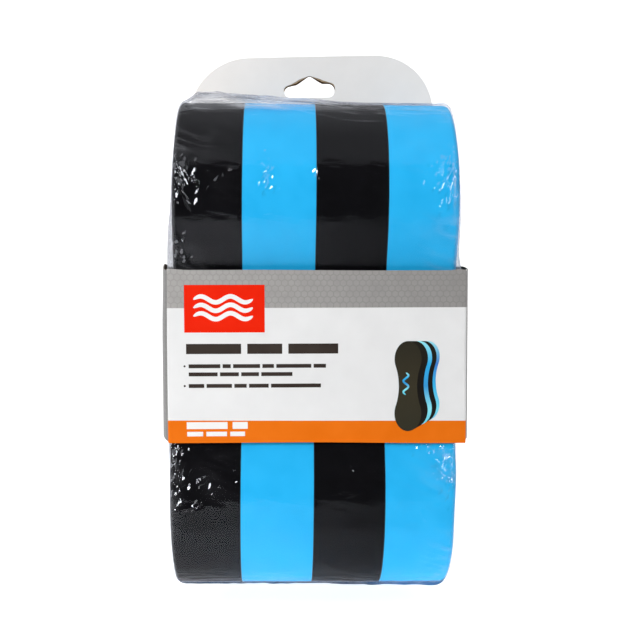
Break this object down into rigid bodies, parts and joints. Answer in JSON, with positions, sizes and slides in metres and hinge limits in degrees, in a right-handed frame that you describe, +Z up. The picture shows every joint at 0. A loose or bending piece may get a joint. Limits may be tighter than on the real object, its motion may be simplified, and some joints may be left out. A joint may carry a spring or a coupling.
{
  "type": "pull buoy",
  "caption": "Figure-of-eight foam pull buoy in black and blue layers, film wrapped, held at the waist by a printed card sleeve with a hang slot.",
  "frame": {"origin": "top of the hang slot, at the middle of the card's thickness: the point that a display hook carries", "axes": "+X to the right across the foam layers, +Y from the printed front to the back of the card, +Z up"},
  "size_m": [0.133, 0.0856, 0.2421],
  "materials": {
    "foam_black": "closed-cell EVA foam, satin skinned",
    "foam_blue": "closed-cell EVA foam, satin skinned",
    "bond_adhesive": "dried contact adhesive",
    "clear_film": "clear shrink film, wrinkled",
    "printed_card": "coated, printed board with a brown uncoated inside",
    "white_card": "coated white board, brown uncoated back",
    "glue": "dried hot-melt glue"
  },
  "bodies": {
    "root": {"foam_layer_1_black": "foam_black", "foam_layer_2_blue": "foam_blue", "foam_layer_3_black": "foam_black", "foam_layer_4_blue": "foam_blue", "bond_film_1": "bond_adhesive", "bond_film_2": "bond_adhesive", "bond_film_3": "bond_adhesive", "shrink_film": "clear_film", "card_sleeve": "printed_card", "header_facing": "white_card", "sleeve_seam_glue": "glue", "header_facing_glue": "glue"}
  },
  "joints": []
}
